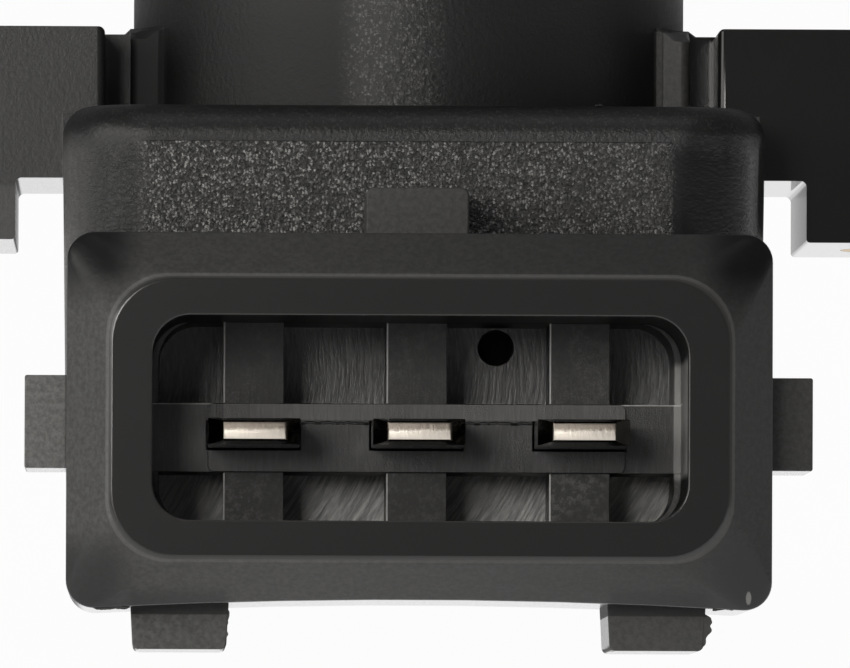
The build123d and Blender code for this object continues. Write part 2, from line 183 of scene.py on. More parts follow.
# %% Places on the housing
def in_mouth(point):
    """Inside the connector's mouth, its edge left out."""
    return (abs(point.x) < 8.2 and abs(point.z - connector_z) < 3.2
            and mouth_y + 0.2 < point.y < floor_y + 0.1)


def on_front(point):
    """In the front plane of the shroud."""
    return abs(point.y - mouth_y) < 0.01


def on_rim(point):
    """On the outer outline of the front land."""
    return on_front(point) and (abs(point.x) > 8.3 or abs(point.z - connector_z) > 3.3)


def on_mouth_edge(point):
    """On the inner outline of the front land."""
    return on_front(point) and not on_rim(point)


def outside(point):
    """On an outer edge that is high enough to take a radius."""
    chamber = abs(point.x) < 9.75 and -13.8 < point.y < 11.8 and point.z < -4.7
    bore = math.hypot(point.x, point.y) < 5.5 and point.z < 13.5
    groove = seal_low.z - 0.5 < point.z < seal_high.z + 0.5
    neck = abs(point.x) < 10.3 and abs(point.y) < 4.2 and point.z > -2.9
    ear = abs(point.x) > 11.2 and point.y > -13.0
    return not (chamber or bore or groove or neck or ear or in_mouth(point) or on_front(point))


housing_rules = [(on_rim, 0.13, 4), (outside, 0.06, 2), (on_mouth_edge, 0.05, 2), (in_mouth, 0.022, 1)]
housing_shape = rounded_copy("housing", housing_rules)

# %% [markdown]
# Foot of the spigot
#
# The solid carries a cone round the spigot's foot, and its neck rises to the ears' upper face. The
# photograph shows hardly more than a round corner at the foot, and a neck whose top is a little lower
# and softer. The copy could be cut again, but it is enough to lower the points along these two edges.

# %% Lower the foot and the neck
barrel_radius = 8.95


def lower(shape, chosen, drop):
    """Lowers the points whose place passes the test."""
    found = [vert for vert in shape.verts if chosen(vert.co / MM)]
    bmesh.ops.translate(shape, verts=found, vec=Vector((0, 0, -drop)) * MM)
    print("points lowered:", len(found), "by", drop, "mm")


def on_foot_ring(point):
    """On the upper ring of the cone at the spigot's foot."""
    return 0.3 < point.z < 0.6 and 8.5 < math.hypot(point.x, point.y) < barrel_radius


def on_neck_top(point):
    """On the upper edge of the neck's front or back."""
    on_neck = abs(point.x) < 9.4 and 3.3 < abs(point.y) < 4.1
    return point.z > -0.45 and on_neck and math.hypot(point.x, point.y) > barrel_radius


lower(housing_shape, on_foot_ring, 0.32)
lower(housing_shape, on_neck_top, 0.24)
housing = piece_from(housing_shape, "housing_rounded", "housing")

# %% [markdown]
# Blades with struck tips
#
# The blades are punched from strip and their tips are struck to a taper, which leaves round, soft edges
# at the tip and nearly sharp ones along the blade. They could be modelled again from boxes, but a
# rounded copy of each solid keeps its taper and its place.


# %% Rounded blades
def at_tip(point):
    """On the struck end of a blade."""
    return point.y < blade_low.y + 0.1


def along_blade(point):
    """Behind the struck end."""
    return point.y > blade_low.y + 0.5


blades = []
for number in (1, 2, 3):
    shape = rounded_copy(f"terminal_{number}", [(at_tip, 0.09, 3), (along_blade, 0.03, 1)])
    blades.append(piece_from(shape, f"blade_{number}", f"terminal_{number}"))

# %% [markdown]
# Ring seal
#
# The solid of the seal has bevelled corners. The real one is an O-ring. A bevel on the solid would leave
# flats, so a circle is spun round the spigot's axis inside the same box.

# %% O-ring
ring_middle = (seal_low.z + seal_high.z) / 2
ring_radius = (seal_high.z - seal_low.z) / 2
ring_shape = bmesh.new()
section = bmesh.ops.create_circle(ring_shape, segments=24, radius=ring_radius * MM)["verts"]
bmesh.ops.rotate(ring_shape, verts=section, matrix=Matrix.Rotation(math.radians(90), 3, "X"))
ring_place = Vector((seal_high.x - ring_radius, 0, ring_middle)) * MM
bmesh.ops.translate(ring_shape, verts=section, vec=ring_place)
bmesh.ops.spin(ring_shape, geom=ring_shape.edges[:] + ring_shape.verts[:], cent=(0, 0, 0), axis=(0, 0, 1),
               steps=96, angle=math.radians(360), use_merge=True)
bmesh.ops.remove_doubles(ring_shape, verts=ring_shape.verts, dist=0.001 * MM)
bmesh.ops.recalc_face_normals(ring_shape, faces=ring_shape.faces)
o_ring = piece_from(ring_shape, "o_ring", "port_seal")

# %% [markdown]
# Flash and burrs
#
# Where two halves of the moulding tool meet, a paper-thin fin of plastic is squeezed out. On this sensor
# it hangs in ragged shreds beside the coding ribs and under the lower corners of the shroud. A bump or
# a painted edge would not break the outline against the white table, so each fin is a real grid whose
# outer row is moved by noise, given a thickness by solidify. Its inner row sits a little inside the
# housing, so no gap shows.

# %% A ragged fin
fin_step = 0.05
fin_thickness = 0.05
fin_sunk = 0.08
least_steps = 12
least_height = 0.02
usual_height, wave_height, shred_height = 0.45, 0.9, 0.35
run_out = 8.0


def fin(name, start, end, outward, reach, seed, coarse, fullness=0.0):
    """A thin fin from start to end that sticks out by up to reach, torn along its outer edge."""
    start, end, outward = Vector(start), Vector(end), Vector(outward).normalized()
    length = (end - start).length
    along = (end - start) / length
    steps = max(least_steps, round(length / fin_step))
    shape = bmesh.new()
    bmesh.ops.create_grid(shape, x_segments=steps, y_segments=3, size=0.5)
    for vert in shape.verts:
        share = vert.co.x + 0.5
        rise = vert.co.y + 0.5
        wave = noise.noise(Vector((share * length * coarse, seed, 0)))
        shred = noise.noise(Vector((share * length * coarse * 4.0, seed + 7.3, 0)))
        full = fullness + usual_height + wave_height * wave + shred_height * shred
        height = reach * max(least_height, min(1.0, full))
        height *= min(1.0, run_out * share, run_out * (1.0 - share))
        outwards = outward * (rise * (height + fin_sunk) - fin_sunk)
        vert.co = (start + along * share * length + outwards) * MM
    bmesh.ops.recalc_face_normals(shape, faces=shape.faces)
    bmesh.ops.solidify(shape, geom=shape.faces[:], thickness=fin_thickness * MM)
    bmesh.ops.recalc_face_normals(shape, faces=shape.faces)
    return piece_from(shape, name)


# %% [markdown]
# Five fins
#
# Three fins run down the sides of the coding ribs and two hang under the corners of the shroud. The one
# outside the right rib is the widest and almost whole, the others are thin and broken.

# %% Fins beside the ribs and under the shroud
rib_foot_z = housing_low.z
shroud_foot_z = connector_z - 5.8
rib_front_y = mouth_y + 3.22
right_rib, left_rib = 7.25, -7.25
rib_half = 1.42
rib_taper = 0.05
left_fin_top = shroud_foot_z + 0.1
lip_y = mouth_y + 1.56
fins = [
    fin("flash_right_rib", (right_rib + rib_half, rib_front_y, shroud_foot_z),
        (right_rib + rib_half - rib_taper, rib_front_y, rib_foot_z + 0.1),
        (1, 0, 0), reach=0.29, seed=3.1, coarse=1.8, fullness=0.4),
    fin("flash_right_rib_inner", (right_rib - rib_half, rib_front_y, shroud_foot_z),
        (right_rib - rib_half + rib_taper, rib_front_y, rib_foot_z + 0.45),
        (-1, 0, 0), reach=0.12, seed=8.4, coarse=2.6),
    fin("flash_left_rib", (left_rib + rib_half, rib_front_y, left_fin_top),
        (left_rib + rib_half - rib_taper, rib_front_y, rib_foot_z + 0.3),
        (1, 0, 0), reach=0.12, seed=5.2, coarse=2.0, fullness=0.2),
    fin("flash_shroud_left", (-9.9, lip_y, shroud_foot_z + 0.06),
        (-8.75, lip_y, shroud_foot_z + 0.07), (0, 0, -1), reach=0.10, seed=2.7, coarse=2.0),
    fin("flash_shroud_right", (8.9, lip_y, shroud_foot_z + 0.03),
        (10.2, lip_y, shroud_foot_z + 0.2), (0, 0, -1), reach=0.13, seed=6.6, coarse=3.2),
]

# %% [markdown]
# Burrs
#
# A few burrs stand on the shroud's corners and rim where the part was knocked. Each is a small lump: an
# icosphere, flattened and pushed about by noise, half sunk into the plastic. Sculpting each shred would
# cost many faces for something a tenth of a millimetre high.

# %% Burrs on the shroud
lump_height = 0.5
lump_scale = 3.0


def burr(name, place, size, seed):
    """A torn lump of plastic at a place, its size along x, y and z in millimetres."""
    shape = bmesh.new()
    bmesh.ops.create_icosphere(shape, subdivisions=3, radius=0.5)
    for vert in shape.verts:
        vert.co *= 1.0 + lump_height * noise.noise(vert.co * lump_scale + Vector((seed, 0, 0)))
        vert.co = Vector((vert.co.x * size[0], vert.co.y * size[1], vert.co.z * size[2])) * MM
    bmesh.ops.translate(shape, verts=shape.verts, vec=Vector(place) * MM)
    bmesh.ops.recalc_face_normals(shape, faces=shape.faces)
    return piece_from(shape, name)


burrs = [
    burr("burr_lower_right", (10.08, mouth_y + 1.5, shroud_foot_z + 0.42), (0.13, 0.1, 0.32), 1.0),
    burr("burr_upper_right", (10.60, mouth_y + 1.55, connector_z + 5.0), (0.10, 0.1, 0.2), 2.0),
    burr("burr_rim_right", (9.46, mouth_y + 0.12, connector_z + 1.35), (0.16, 0.1, 0.12), 3.0),
    burr("burr_lower_left", (-10.35, mouth_y + 1.5, shroud_foot_z + 0.75), (0.14, 0.1, 0.14), 4.0),
    burr("burr_upper_left", (-9.95, mouth_y + 1.52, connector_z + 5.55), (0.3, 0.1, 0.1), 5.0),
    burr("burr_rim_top", (-6.9, mouth_y + 0.1, connector_z + 4.24), (0.16, 0.08, 0.08), 6.0),
    burr("burr_block_top", (5.7, block_front_y + 0.75, block_top_z + 0.02), (0.22, 0.12, 0.09), 7.0),
]

# %% [markdown]
# Shader helpers
#
# A material is a graph of nodes, and its maths is easier to read as Python. `Wire` wraps one output of a
# node and turns + - * and abs() into Math nodes. `Finish` is a material under construction: its `node`
# method is the only way this script adds any other node.


# %% A number in the shader
class Wire:
    """One number, colour or vector on its way between two shader nodes."""

    def __init__(self, finish, socket):
        self.finish = finish
        self.socket = socket

    def math(self, operation, *others):
        """The output of a Math node whose first input is this wire."""
        inputs = dict(enumerate((self, *others)))
        return self.finish.node("ShaderNodeMath", {"operation": operation}, inputs)

    def __add__(self, other):
        return self.math("ADD", other)

    __radd__ = __add__

    def __mul__(self, other):
        return self.math("MULTIPLY", other)

    __rmul__ = __mul__

    def __sub__(self, other):
        return self.math("SUBTRACT", other)

    def __rsub__(self, other):
        return self.finish.node("ShaderNodeMath", {"operation": "SUBTRACT"}, {0: other, 1: self})

    def __abs__(self):
        return self.math("ABSOLUTE")

    def capped(self):
        """At most 1, for masks that overlap."""
        return self.math("MINIMUM", 1.0)

    def ramp(self, low, high):
        """0 up to low, 1 from high on, and smooth in between."""
        inputs = {"Value": self, "From Min": low, "From Max": high}
        return self.finish.node("ShaderNodeMapRange", {"interpolation_type": "SMOOTHSTEP"}, inputs)

    def between(self, low, high, edge):
        """1 between low and high, and smooth over the width of edge outside them."""
        return self.ramp(low - edge, low) * (1 - self.ramp(high, high + edge))


# %% A material under construction
class Finish:
    """A material under construction, measured in millimetres."""

    def __init__(self, name, colour, roughness, **constants):
        self.material = bpy.data.materials.new(name)
        self.material.use_nodes = True
        self.tree = self.material.node_tree
        self.shader = self.tree.nodes["Principled BSDF"]
        self.set("Base Color", (*colour, 1.0))
        self.set("Roughness", roughness)
        for socket, value in constants.items():
            self.set(socket.replace("_", " "), value)
        coordinates = self.node("ShaderNodeTexCoord", output="Object")
        self.place = self.node("ShaderNodeMapping", {}, {"Vector": coordinates, "Scale": (1 / MM,) * 3})
        self.x, self.y, self.z = self.parts(self.place)

    def node(self, kind, settings=None, inputs=None, output=0):
        """Adds a node, sets its settings first, then its inputs, and gives back one output."""
        made = self.tree.nodes.new(kind)
        for name, value in (settings or {}).items():
            setattr(made, name, value)
        for name, value in (inputs or {}).items():
            socket = made.inputs[name]
            if isinstance(name, str):
                socket = next(s for s in made.inputs if s.name == name and s.enabled)
            if isinstance(value, Wire):
                self.tree.links.new(value.socket, socket)
            else:
                socket.default_value = value
        if output == 0:
            return Wire(self, next(s for s in made.outputs if s.enabled))
        return Wire(self, made.outputs[output])

    def set(self, name, value):
        """Gives one of the surface's own sockets a number, a colour or a wire."""
        if isinstance(value, Wire):
            self.tree.links.new(value.socket, self.shader.inputs[name])
        else:
            self.shader.inputs[name].default_value = value

    def parts(self, vector):
        """The three numbers of a vector."""
        return [self.node("ShaderNodeSeparateXYZ", {}, {0: vector}, axis) for axis in ("X", "Y", "Z")]

    def vector(self, x, y, z):
        """A vector from three numbers."""
        return self.node("ShaderNodeCombineXYZ", {}, {0: x, 1: y, 2: z})

    def stretched(self, scale):
        """The place on the object, stretched for a pattern."""
        return self.node("ShaderNodeMapping", {}, {"Vector": self.place, "Scale": scale})

    def distance(self, first, second):
        """How far a point is from a centre, from its distances along two axes."""
        return (first * first + second * second).math("SQRT")

    def grain(self, scale, detail=2.0, roughness=0.5, place=None, distortion=0.0):
        """Noise from 0 to 1 whose blobs are about 1 / scale millimetres."""
        inputs = {"Vector": place or self.place, "Scale": scale, "Detail": detail, "Roughness": roughness,
                  "Distortion": distortion}
        return self.node("ShaderNodeTexNoise", {}, inputs)

    def blend(self, factor, dark, light):
        """A colour between two colours."""
        inputs = {"Factor": factor, "A": (*dark, 1.0), "B": (*light, 1.0)}
        return self.node("ShaderNodeMix", {"data_type": "RGBA"}, inputs)

    def zone(self, edge, **spans):
        """1 inside a box of spans along x, y and z, fading out over the width of edge."""
        mask = None
        for axis, (low, high) in spans.items():
            part = getattr(self, axis).between(low, high, edge)
            mask = part if mask is None else mask * part
        return mask

    def relief(self, height):
        """Bump from a height in millimetres."""
        self.set("Normal", self.node("ShaderNodeBump", {}, {"Height": height, "Distance": MM}))


def wear(piece, finish):
    """Dresses a piece or a CAD node in a finish."""
    piece.data.materials.clear()
    piece.data.materials.append(finish.material)


print("pieces to dress in black plastic:", 1 + len(fins) + len(burrs))


# %% [markdown]
# Black plastic: where each grain lies
#
# The housing is black glass-filled plastic, moulded in a tool whose walls were not all finished alike.
# The front of the block was eroded to a coarse, sparkling grain, and its corners have a fine leather
# grain. The tabs, ribs and bevels are matt and a little greyer. The spigot and the front land are
# smoother and darker. The floors of the pockets keep the curved marks of the cutter. The faces could
# carry a material each, but these zones fade into one another, so one material covers the whole
# moulding, and masks in millimetres say where each finish lies.
#
# The first masks are inside the mouth: the floors of the pockets, the fronts of the upright bars, and the
# round hole that a pin of the tool left in one floor.

# %% Zones inside the mouth
black = Finish("housing_black", (0.014, 0.014, 0.014), 0.42)
middle_up = black.z - connector_z
inside_half_width, inside_half_height = 8.16, 3.16
cavity = black.zone(0.05, x=(-inside_half_width, inside_half_width), y=(mouth_y + 0.08, floor_y + 2.0),
                    z=(connector_z - inside_half_height, connector_z + inside_half_height))
floors = cavity * black.y.ramp(floor_y - 0.2, floor_y - 0.1)
bar_fronts = cavity * black.y.between(bars_y - 0.6, bars_y + 0.06, 0.04)
pin_x, pin_up = 2.52, 2.5
core_hole = floors * (1 - black.distance(black.x - pin_x, middle_up - pin_up).ramp(0.52, 0.58))
print("nodes for the zones inside the mouth:", len(black.tree.nodes))

# %% [markdown]
# The bars
#
# Three upright bars and a cross bar stand in the socket. Their lit edges are thin light lines in the
# photograph, painted here as highlights. The bars repeat with the blades, so a wrapped X gives the distance
# from the nearest one. The cross bar carries a lighter strip above the blades, and light is painted on the
# right wall of the mouth, which is lit.

# %% Zones of the bars
cross_foot, cross_top = -1.5, 0.64
behind_cross = middle_up.between(cross_foot, cross_top, 0.02)
from_bar_middle = black.x.math("WRAP", blade_pitch / 2, -blade_pitch / 2)
# Painted highlights on the left edges of the upright bars.
bar_edge_highlights = bar_fronts * from_bar_middle.between(-0.935, -0.885, 0.015) * (1 - behind_cross)
bars = bar_fronts * (1 - behind_cross)
cross_face = black.zone(0.04, x=(-8.1, 8.1), y=(mouth_y + 6.0, mouth_y + 7.55))
cross = cross_face * behind_cross
strip = cross_face * black.x.between(-5.9, 6.4, 0.04) * middle_up.between(0.14, 0.62, 0.04)
# A painted highlight on the top edge of the cross bar's ends.
cross_top_highlight = cross_face * middle_up.between(0.595, cross_top, 0.01) * abs(black.x).ramp(6.2, 6.4)
# Painted light on the lit right wall of the mouth.
lit_right_wall = black.zone(0.3, y=(mouth_y + 1.0, floor_y), z=(connector_z - 1.5, connector_z + 1.7))
lit_right_wall = lit_right_wall * black.x.between(7.9, 8.2, 0.03)
print("nodes with the zones of the bars:", len(black.tree.nodes))

# %% [markdown]
# The shroud
#
# The front land is flat and dark. Its rim catches a line of light, which is also painted on as a light
# line, and the bevels behind it are matt. The light comes from the left, so a mask that falls from left
# to right paints light on the left faces and makes them greyer. At the lower right corner a piece of the
# edge is torn out.

# %% Zones of the shroud
land = black.zone(0.05, y=(mouth_y - 1, mouth_y + 0.03))
# A painted highlight: the rim line is made lighter in the colour.
rim_highlight = black.y.between(mouth_y + 0.02, mouth_y + 0.09, 0.03) * (1 - cavity)
# Painted light: in the colour this mask makes the faces on the left lighter, where the left lamps fall; it
# also varies bump and gloss.
lit_left_side = 1 - black.x.ramp(-9.0, 9.0)
corners = abs(black.x).ramp(8.2, 9.6) * abs(middle_up).ramp(3.0, 4.6)
bevels = black.zone(0.05, y=(mouth_y + 0.06, block_front_y - 0.05), z=(-18.7, -7.0)) * (1 - cavity)
nick_centre_x, nick_centre_up = 9.98, -5.38
nick_narrow, nick_tall = 12.0, 5.0
nick_x = (black.x - nick_centre_x) * nick_narrow
nick_z = (middle_up - nick_centre_up) * nick_tall
torn_nick = bevels * (1 - (nick_x * nick_x + nick_z * nick_z).ramp(0.6, 1.3))
# Painted shade where the ribs meet the shroud.
rib_root_shade = bevels * abs(black.x).between(6.0, 8.6, 0.5) * (1 - middle_up.ramp(-5.6, -4.9))
print("nodes with the zones of the shroud:", len(black.tree.nodes))

# %% Zones of the ribs and tabs
ribs_below = black.zone(0.05, y=(mouth_y, block_front_y - 0.03), z=(-30.0, -18.75))
tabs_beside = (black.zone(0.05, y=(mouth_y, -17.9)) * abs(black.x).ramp(10.72, 10.8)
               * abs(middle_up).between(-9, 1.6, 0.1))
tab_above = black.zone(0.05, y=(-20.3, block_front_y - 0.03), z=(-7.12, -5.0))
# The corners and the top of the bevels carry less of the matt finish, so they are smoother and darker; the
# darkness is painted shade, less at the left corners, where painted light falls.
corner_share = corners * (0.58 - lit_left_side * 0.12)
matt_bevels = bevels * (0.6 - corner_share - middle_up.ramp(4.0, 4.6) * 0.15)
matt = (matt_bevels + ribs_below + tabs_beside + tab_above * 0.7).capped()
print("nodes with the ribs and tabs:", len(black.tree.nodes))

# %% [markdown]
# The block, the ears and the spigot
#
# The eroded patch lies on the front of the block and fades out towards its rounded corners, which have
# the leather grain, like the block's sides. A band along the top of the block has a plain fine grain
# instead. The ears and the spigot came out of smoother parts of the tool.

# %% Zones of the ears and the spigot
neck_front = black.zone(0.05, y=(-4.1, -3.2), z=(-2.8, 0.0)) * abs(black.x).between(7.5, 9.0, 0.1)
web_front = black.zone(0.05, y=(-3.4, 2.1), z=(-2.8, 0.05)) * abs(black.x).between(8.8, 9.7, 0.05)
ear_plates = black.zone(0.03, z=(-6.9, 0.02)) * abs(black.x).ramp(10.95, 11.0)
ear_roots = black.zone(0.03, y=(-7.0, 7.0), z=(-2.75, 0.05)) * abs(black.x).ramp(9.5, 9.6)
ears = (ear_plates + ear_roots).capped()
# Painted light on the left hub, below the left ear.
lit_left_hub = ears * lit_left_side * (1 - black.z.ramp(-5.2, -4.9))
right_ear = ears * (1 - lit_left_side)
outside_barrel = black.distance(black.x, black.y).ramp(barrel_radius - 0.05, barrel_radius)
barrel = (1 - outside_barrel) * black.z.ramp(-2.78, -2.7)
print("nodes with the ears and the spigot:", len(black.tree.nodes))

# %% Zones of the block
eroded = (black.zone(0.05, y=(block_front_y - 0.05, block_front_y + 0.12), z=(-9.0, -3.98))
          * black.x.between(-7.9, 7.3, 0.9))
block = black.zone(0.05, x=(-11.1, 11.1), y=(block_front_y - 0.02, 13.2), z=(-17.8, -2.7))
block = block * (1 - eroded) * (1 - ears) * (1 - cavity)
band = block * black.z.ramp(-4.5, -3.5)
# Painted light on the outer corners of the block, strongest on the left.
lit_outer_corner = block * abs(black.x).ramp(9.6, 10.9)
print("nodes with the block:", len(black.tree.nodes))

# %% [markdown]
# Black plastic: patterns
#
# The eroded grain and the mottling are plain noise. The leather grain is stretched noise, folded at its
# middle, so that it makes short creases. The cutter's marks are noise laid along arcs: one number says how
# far a point is from the cutter's centre and another how high up the arc it is. An image could hold all
# this, but noise on the object's own coordinates needs no unwrapping and has no seams.

# %% Patterns of the housing
fine = black.grain(22.0, detail=1.0)
broad = black.grain(0.8, detail=2.0)
mottle = black.grain(6.0, detail=3.0, roughness=0.7)
eroded_grain = black.grain(13.0, detail=2.0, roughness=0.6)
worms = black.grain(1.0, detail=3.0, roughness=0.65, distortion=0.6, place=black.stretched((6.5, 6.5, 8.0)))
wrinkles = abs(worms - 0.5) * 2.0
upright = black.grain(1.0, detail=3.0, roughness=0.65, place=black.stretched((13.0, 2.0, 1.6)))
frost_patch = black.grain(0.55, detail=2.0, roughness=0.6).ramp(0.44, 0.62)
patchy = 0.7 + mottle.ramp(0.30, 0.70) * 0.6
print("nodes with the grains:", len(black.tree.nodes))

# %% Cutter's marks and parting line
cutter_x, cutter_up = -4.5, 1.9
from_bar = black.x.math("WRAP", blade_pitch, 0.0)
arc_radius = black.distance(from_bar - cutter_x, middle_up - cutter_up)
arc_place = black.vector(arc_radius * 9.0, middle_up * 1.0, black.x * 0.3)
cutter = black.grain(1.0, detail=3.0, roughness=0.7, place=arc_place)
wobble = black.grain(3.5, detail=2.0, place=black.vector(black.x, 0.0, 0.0)) - 0.5
# The parting line: a shallow groove in the relief and a painted shadow line in the colour.
parting_groove_and_shadow = (1 - abs(middle_up - 0.03 - wobble * 0.16).ramp(0.012, 0.045)) * cross_face
parting_groove_and_shadow = parting_groove_and_shadow * abs(from_bar_middle).ramp(1.42, 1.48) * abs(black.x).between(-1.0, 4.0, 0.05)
print("nodes with the marks:", len(black.tree.nodes))

# %% [markdown]
# Black plastic: relief
#
# Every height is in millimetres. The eroded grain is about as deep as its blobs are wide, a tenth of a
# millimetre, so its facets point every way. The rest is some hundredths of a millimetre deep, and the
# polished faces have almost none. One Bump node takes the sum, because each zone has its own height.

# %% Relief of the housing
textured = (1 - land) * (1 - cavity) * (1 - ears)
height = fine * 0.0010 + textured * mottle * 0.006
height = height + eroded * eroded_grain * 0.09 + band * mottle * 0.016
height = height + block * (1 - band) * wrinkles * (0.002 + lit_left_side * 0.035)
height = height + (matt + ears * lit_left_side) * (mottle * 0.012)
height = height + floors * (cutter * 0.012)
height = height + (bar_fronts + cross) * (upright * 0.0025 + fine * frost_patch * 0.005)
height = height + barrel * (mottle * 0.022) - parting_groove_and_shadow * 0.03
black.relief(height)
print("nodes with the relief:", len(black.tree.nodes))

# %% [markdown]
# Black plastic: painted sparkle
#
# Glass fibres and torn facets on the eroded grain flash in the light, and these flashes are painted
# highlights in the colour. Real facets that small would take millions of faces, so each painted glint is a
# cell of a Voronoi pattern with a light middle and a brightness of its own. The place is shaken by noise
# first, because even cells would look like scales.

# %% Painted glints
glint_scale = 11.0
shaken = black.vector(black.x + (fine - 0.5) * 0.12, black.y, black.z + (eroded_grain - 0.5) * 0.25)
glint_inputs = {"Vector": shaken, "Scale": glint_scale}
cells = black.node("ShaderNodeTexVoronoi", {}, glint_inputs)
luck = black.parts(black.node("ShaderNodeTexVoronoi", {}, glint_inputs, "Color"))[0]
# Painted highlights: the light middle of each cell stands in for a facet that flashes in the light.
painted_glints = (1 - cells.ramp(0.15, 0.60)) * luck.ramp(0.05, 1.0)
# The column of the spigot that the key light strikes, smoother and with painted glints.
column = abs(black.x + 0.6).between(-1.0, 0.9, 1.0)
print("nodes with the flecks:", len(black.tree.nodes))

# %% [markdown]
# Black plastic: shade outside
#
# Where the tool was rough, the plastic scatters more light and looks greyer. The shade is one number, the
# sum of what each zone adds, and it becomes a slightly warm grey at the end. Much of it is painted light:
# the faces on the left are lighter where the left lamps fall, a painted rim reflection lightens the right
# front of the neck, and painted glints stand in for flashing facets. The numbers were found by setting
# renders beside the photograph, zone by zone.

# %% Shade of the outer faces
dull = 1 - band
right_side = 1 - lit_left_side
# Painted light: the matt faces get their own grey, and more on the left, where the left lamps fall.
grey = 0.006 + broad * 0.004 + (matt * 0.050 + matt * lit_left_side * 0.070) * patchy
# Painted light on the tabs and ears on the left, and a painted rim reflection on the right front of the
# neck.
painted_side_light = tabs_beside * lit_left_side * 0.060 + ears * lit_left_side * 0.012 + neck_front * right_side * 0.06
grey = grey + painted_side_light * patchy
# The eroded grain's own tone, with painted glints that are brighter on the left, where the light falls.
grey = grey + eroded * (0.012 + painted_glints * (0.34 + lit_left_side * 0.22) + eroded_grain.ramp(0.35, 0.65) * 0.05)
# Painted light on the left of the block, broken by its creases, and painted glints on the top band.
grey = grey + block * dull * lit_left_side * 0.020 * (0.4 + wrinkles * 1.2) + band * painted_glints * 0.03
# Painted light on the outer corners, more on the left.
grey = grey + lit_outer_corner * dull * (0.03 + lit_left_side * 0.06) * patchy
# Painted glints in the spigot's lit column, a painted highlight on the rim line, and the pale bare plastic
# of the torn nick.
grey = grey + barrel * column * painted_glints * 0.15 + rim_highlight * 0.06 + torn_nick * 0.5
# Painted light on the right rib, which the left lamps leave in shade, and on the left hub.
grey = grey + ribs_below * right_side * 0.03 + lit_left_hub * 0.04
print("nodes with the outer shade:", len(black.tree.nodes))

# %% [markdown]
# Black plastic: shade in the socket
#
# The floors get painted light: they are lighter where the cutter's marks catch the key light, most of all
# in the lower pockets. The bars are frosted: a pale haze near the cross bar, drawn upwards in streaks, and
# a grainy one below, and their lower parts get painted light as well. Their left edges are painted
# highlights, bright lines. The first pocket on the left lies in the shadow of the mouth's wall, so its
# floor gets extra grey, painted light, to come near the photograph.

# %% Shade of the socket
# Painted light: the lower row of the socket is made lighter.
lit_low_row = 1 - middle_up.ramp(-1.5, 0.0)
# Painted light for the first pocket, which lies in shade.
shaded_first_pocket = 1 - black.x.ramp(-6.8, -6.2)
# Painted highlights where the cutter's marks catch the key light, most in the lower row.
mark_highlights = cutter.ramp(0.35, 0.8) * (0.20 + lit_low_row * 0.50)
grey = grey + floors * (0.070 + lit_low_row * (0.22 + shaded_first_pocket * 0.35) + mark_highlights)
frost = frost_patch * 0.4 + (1 - abs(middle_up - 0.6).ramp(0.3, 1.8)) * 0.6
frost = frost * (0.4 + upright.ramp(0.35, 0.65) * 0.6)
# The bars' own frost, its haze made stronger low down as painted light.
haze = (0.35 + frost_patch * 0.65) * (0.4 + lit_low_row * 0.6) * mottle.ramp(0.42, 0.66) * (0.4 + fine)
frosted = haze * 0.10 + frost * (0.04 + fine.ramp(0.5, 0.7) * 0.07)
# The bars' frost, and painted light on their lower part.
grey = grey + bars * (0.004 + lit_low_row * 0.014 + frosted)
# The cross bar's own grain and lighter strip, with painted light at the first pocket.
grey = grey + cross * (0.020 + upright.ramp(0.4, 0.8) * 0.05 + shaded_first_pocket * 0.03) + strip * 0.10
# Painted highlights on the bar edges and painted light on the right wall.
grey = grey + (bar_edge_highlights + cross_top_highlight) * 0.70 + lit_right_wall * 0.34
print("nodes with the socket's shade:", len(black.tree.nodes))

# %% Painted shade and the colour
# Painted shade: the core hole is made black, and the roots of the ribs and the corners of the bevels
# darker.
shadows = (1 - core_hole) * (1 - rib_root_shade * 0.8) * (1 - bevels * corners * 0.4)
# Painted shadow along the parting line; the front land is a darker tone of its own.
grey = grey * shadows * (1 - land * 0.25) * (1 - parting_groove_and_shadow * 0.8)
warm_white = (1.0, 0.985, 0.95)
black.set("Base Color", black.blend(grey, (0.0, 0.0, 0.0), warm_white))
print("nodes with the colour:", len(black.tree.nodes))

# %% [markdown]
# Black plastic: gloss
#
# Faces that point down were drawn along the tool's polished slide, so they mirror the white table at a
# flat angle, and so do the sides of the ribs and ears, a little less. The direction of the surface tells
# where they are. The spigot is smoothest along the column that the light strikes.

# %% Gloss of the housing
normal = black.node("ShaderNodeNewGeometry", output="Normal")
normal_x, _, normal_z = black.parts(normal)
downwards = (1 - normal_z.ramp(-0.95, -0.7)) * (1 - cavity)
slid_sides = abs(normal_x).ramp(0.85, 0.98) * (ribs_below + ears).capped()
slid = (downwards + slid_sides).capped()
low_down = 1 - black.z.ramp(-1.0, 3.0)
roughness = 0.38 + matt * 0.35 - land * 0.22 + barrel * (0.10 - column * 0.16 + low_down * 0.10)
roughness = roughness - floors * 0.12 - eroded * 0.08 + bars * 0.12
roughness = roughness - web_front * right_side * 0.25 + neck_front * lit_left_side * 0.25
roughness = roughness - right_ear * 0.22 - block * dull * right_side * 0.20 + core_hole * 0.6
black.set("Roughness", roughness * (1 - slid) + downwards * 0.06 + slid_sides * 0.24)
for part in (housing, *fins, *burrs):
    wear(part, black)
print("pieces dressed in black plastic:", 1 + len(fins) + len(burrs), "nodes:", len(black.tree.nodes))

# %% [markdown]
# Tin-plated blades
#
# The blades are stamped from sheet metal and plated with tin, which looks pale, warm and slightly
# streaked. Their tips are struck: the lower half of the end face was pressed smooth and is brighter than
# the torn upper half. The sides are smooth tin too, but their colour is painted dark, a painted reflection
# of the black walls around them. The end could have a material of its own, but the direction of the surface
# tells end and sides apart.

